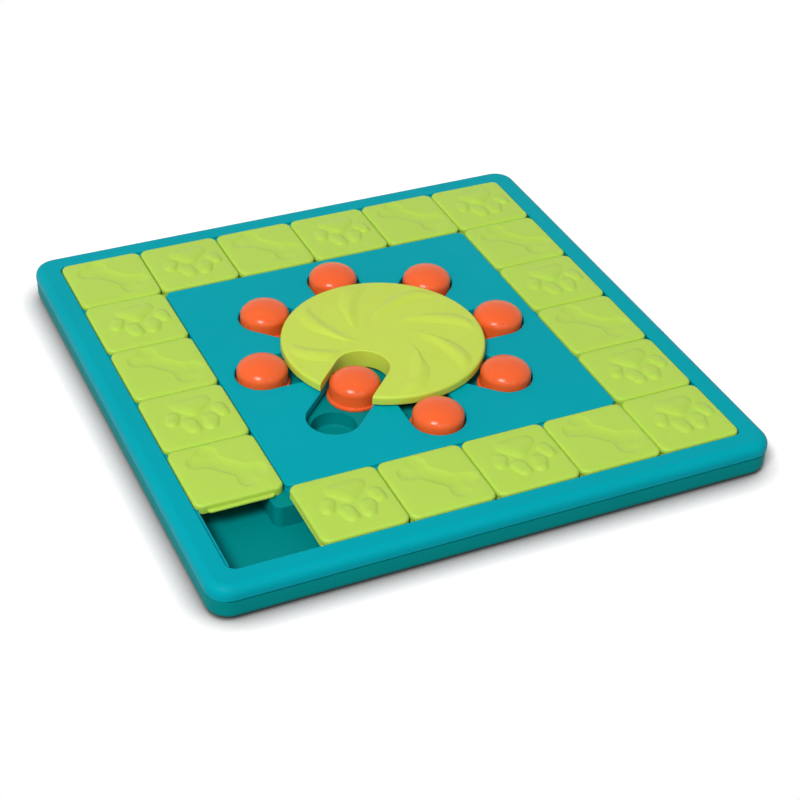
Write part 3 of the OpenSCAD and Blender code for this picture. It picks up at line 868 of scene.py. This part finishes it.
def soft_copy(node, name, cuts):
    """cuts lists (width, segments, profile, wanted(a, b)) for the edges to bevel."""
    pick_none()
    piece = frame["nodes"][node].copy()
    piece.data = piece.data.copy()
    piece.parent = None
    bpy.context.scene.collection.objects.link(piece)
    piece.name = name
    for key in list(piece.keys()):
        del piece[key]
    pick_only(piece)
    bpy.ops.object.mode_set(mode="EDIT")
    bpy.ops.mesh.select_mode(type="EDGE")
    bpy.ops.mesh.select_all(action="SELECT")
    bpy.ops.mesh.remove_doubles(threshold=WELD * MM)
    bpy.ops.mesh.dissolve_limited(angle_limit=math.radians(FLAT_ANGLE))
    for width, segments, profile, wanted in cuts:
        bpy.ops.mesh.select_all(action="DESELECT")
        bpy.ops.mesh.edges_select_sharp(sharpness=math.radians(SHARP_ANGLE))
        leave_edit()
        points = [vertex.co / MM for vertex in piece.data.vertices]
        for edge in piece.data.edges:
            first, second = edge.vertices
            edge.select = edge.select and bool(wanted(points[first], points[second]))
        bpy.ops.object.mode_set(mode="EDIT")
        bpy.ops.mesh.bevel(offset=width * MM, segments=segments, profile=profile)
    leave_edit()
    smooth_shade(piece, 32, has_flats=True)
    return piece


def level(height, nearest=0.0, furthest=math.inf):
    """Picks level edges at this height whose larger side distance is in the range."""
    def wanted(a, b):
        return all(abs(p[2] - height) < 2 * NEAR
                   and nearest < max(abs(p[0]), abs(p[1])) < furthest for p in (a, b))
    return wanted


# %% Tray and rim
PARTING = PANEL_TOP - 8
# these distances from the middle tell the wall's outside, the ledge and the track's edge
AT_WALL, AT_LEDGE, INSIDE_RIM = 163, 105, 152
SQUARE, ROUND = 0.0, 0.5
tray = soft_copy("base_tray", "teal_base_tray", [
    (0.8, 2, SQUARE, level(PARTING, AT_WALL)),
    (0.5, 3, ROUND, level(PANEL_LOW, AT_LEDGE))])
rim = soft_copy("outer_rim", "teal_outer_rim", [
    (0.3, 2, ROUND, level(PARTING, AT_WALL)),
    (0.6, 3, ROUND, level(PANEL_TOP, 0, INSIDE_RIM))])
print("tray faces:", seat(tray, "teal_base_tray", ["base_tray"],
                          deep_teal_and_painted_shade_abs))
print("rim faces:", seat(rim, "teal_outer_rim", ["outer_rim"], teal_abs))

# %% [markdown]
# ## Parts that keep their CAD shape
# The screws, the washer and the feet are right as the CAD model has them. They only need
# their materials.

# %% Materials on the CAD nodes
KEPT = {"axle_screw": steel, "axle_washer": steel, "rim_screws": steel,
        "panel_screws": steel, "foot_near_left": rubber, "foot_near_right": rubber,
        "foot_far_left": rubber, "foot_far_right": rubber}
for name, material in KEPT.items():
    for slot in frame["nodes"][name].material_slots:
        slot.material = material
print("CAD nodes with new materials:", len(KEPT))

# %% [markdown]
# ## Floor, light and camera
# The board is shown on a plain white ground, as in a catalogue. The floor shows itself
# white to the camera but keeps the board's soft shadow, which the lamps cast and painted
# shade deepens in the gap under the board's edge. The light is one large soft lamp from the
# left and front and an even sky. Two small lamps add only the bright spots that show on the
# knobs; otherwise they light nothing.

# %% Floor
# the lamps fade with distance, so beyond this reach, in metres, the floor is plain white
FADE_START, FADE_END = 0.185, 0.28
FLOOR_SIZE = 12
FLOOR_GLOW = 0.24
NOOK_REACH = 20 * MM
WHITE = (1, 1, 1, 1)


def seen_directly(tree):
    """1 for rays that come from the camera, from a reflection or through glass, else 0."""
    path = add_node(tree, "ShaderNodeLightPath")
    seen = add_node(tree, "ShaderNodeMath", {"operation": "MAXIMUM"},
                    {0: path.outputs["Is Camera Ray"], 1: path.outputs["Is Glossy Ray"]})
    seen = add_node(tree, "ShaderNodeMath", {"operation": "MAXIMUM"},
                    {0: seen.outputs[0], 1: path.outputs["Is Transmission Ray"]})
    return seen.outputs[0]


def white_floor():
    material, tree = empty_material("white_paper")
    place = add_node(tree, "ShaderNodeTexCoord").outputs["Object"]
    away = add_node(tree, "ShaderNodeVectorMath", {"operation": "ABSOLUTE"}, {0: place})
    away = add_node(tree, "ShaderNodeSeparateXYZ", None, {0: away.outputs[0]})
    away = add_node(tree, "ShaderNodeMath", {"operation": "MAXIMUM"},
                    {0: away.outputs["X"], 1: away.outputs["Y"]})
    fade = add_node(tree, "ShaderNodeMapRange",
                    {"interpolation_type": "SMOOTHSTEP", "From Min": FADE_START,
                     "From Max": FADE_END}, {"Value": away.outputs["Value"]})
    # painted shade: ambient occlusion darkens the floor's colour and its glow in the gap under
    # the board's edge, deeper than plain soft light makes it
    nook = add_node(tree, "ShaderNodeAmbientOcclusion", {"Distance": NOOK_REACH, "samples": 8})
    shade = add_node(tree, "ShaderNodeMapRange",
                     {"From Min": 0.35, "From Max": 0.95, "To Min": 0.1, "To Max": 1.0},
                     {"Value": nook.outputs["AO"]})
    paper_with_painted_shade = add_node(tree, "ShaderNodeMix", {"data_type": "RGBA"},
                      {"Factor": shade.outputs["Result"]})
    paper_with_painted_shade.inputs[6].default_value = (0.0, 0.0, 0.0, 1)
    paper_with_painted_shade.inputs[7].default_value = linear("#FCFAFA")
    paper = add_node(tree, "ShaderNodeBsdfDiffuse", None, {"Color": paper_with_painted_shade.outputs[2]})
    white = add_node(tree, "ShaderNodeEmission", {"Color": WHITE, "Strength": 1.0})
    # the floor's glow is dimmed by the same painted shade
    dim = add_node(tree, "ShaderNodeMath", {"operation": "MULTIPLY", 1: FLOOR_GLOW},
                   {0: shade.outputs["Result"]})
    glow = add_node(tree, "ShaderNodeEmission", {"Color": WHITE},
                    {"Strength": dim.outputs[0]})
    lit = add_node(tree, "ShaderNodeAddShader")
    tree.links.new(paper.outputs[0], lit.inputs[0])
    tree.links.new(glow.outputs[0], lit.inputs[1])
    shown = add_node(tree, "ShaderNodeMixShader", None, {0: fade.outputs["Result"]})
    tree.links.new(lit.outputs[0], shown.inputs[1])
    tree.links.new(white.outputs[0], shown.inputs[2])
    # for light that bounces off it the floor is a mid grey, which keeps the sides darker
    bounce = add_node(tree, "ShaderNodeBsdfDiffuse", {"Color": (0.4, 0.4, 0.4, 1)})
    surface = add_node(tree, "ShaderNodeMixShader", None, {0: seen_directly(tree)})
    tree.links.new(bounce.outputs[0], surface.inputs[1])
    tree.links.new(shown.outputs[0], surface.inputs[2])
    add_node(tree, "ShaderNodeOutputMaterial", None, {"Surface": surface.outputs[0]})
    return material


pick_none()
bpy.ops.mesh.primitive_plane_add(size=FLOOR_SIZE)
floor = bpy.context.object
floor.name = "floor"
floor.data.materials.append(white_floor())
print("floor:", FLOOR_SIZE, "m wide, plain white beyond", FADE_END, "m from the middle")

# %% World and lamps
SKY_LIGHT = 0.38
world = bpy.data.worlds.new("studio")
bpy.context.scene.world = world
world.use_nodes = True
sky = world.node_tree
sky.nodes.clear()
brightness = add_node(sky, "ShaderNodeMapRange", {"To Min": SKY_LIGHT, "To Max": 1.0},
                      {"Value": seen_directly(sky)})
backdrop = add_node(sky, "ShaderNodeBackground", {"Color": WHITE},
                    {"Strength": brightness.outputs["Result"]})
add_node(sky, "ShaderNodeOutputWorld", None, {"Surface": backdrop.outputs[0]})


def add_softbox(name, place, size, watts):
    """A square lamp at a place in metres that faces the board."""
    lamp = bpy.data.lights.new(name, "AREA")
    lamp.shape, lamp.size, lamp.energy = "SQUARE", size, watts
    holder = bpy.data.objects.new(name, lamp)
    bpy.context.scene.collection.objects.link(holder)
    holder.location = place
    holder.rotation_euler = (-Vector(place)).to_track_quat("-Z", "Y").to_euler()
    return holder


add_softbox("key_softbox", (-1.65, -1.5, 2.65), 1.1, 97.0)
for name, place in (("left_glint", (-0.5, -1.45, 1.0)), ("right_glint", (0.3, -1.5, 1.1))):
    add_softbox(name, place, 0.07, 2.5).visible_diffuse = False
print("lamps:", [lamp.name for lamp in bpy.data.lights])

# %% [markdown]
# The camera stands to the near left and looks down at about 36 degrees. Its turn, tilt
# and focal length follow from how the square board and its 50 mm cells appear in the
# picture.

# %% Camera
TURN, TILT, ROLL = (math.radians(angle) for angle in (-26.0, 36.2, 2.51))
FOCUS_PIXELS, PICTURE_PIXELS = 1818.3, 800
AIM = Vector((-12.8, -52.2, 21.0)) * MM
DISTANCE = 1016 * MM
back = Vector((math.sin(TURN) * math.cos(TILT), -math.cos(TURN) * math.cos(TILT),
               math.sin(TILT)))
level_right = Vector((math.cos(TURN), math.sin(TURN), 0))
level_up = back.cross(level_right)
right = math.cos(ROLL) * level_right + math.sin(ROLL) * level_up
up = -math.sin(ROLL) * level_right + math.cos(ROLL) * level_up
lens = bpy.data.cameras.new("camera")
lens.sensor_width = 36
lens.sensor_fit = "HORIZONTAL"
lens.lens = FOCUS_PIXELS / PICTURE_PIXELS * lens.sensor_width
lens.clip_start, lens.clip_end = 0.05, 20
camera = bpy.data.objects.new("camera", lens)
bpy.context.scene.collection.objects.link(camera)
camera.matrix_world = Matrix([[right[i], up[i], back[i], AIM[i] + back[i] * DISTANCE]
                              for i in range(3)] + [[0, 0, 0, 1]])
bpy.context.scene.camera = camera
bpy.context.scene.view_settings.view_transform = "Standard"
print("camera at", [round(part, 3) for part in camera.matrix_world.translation])
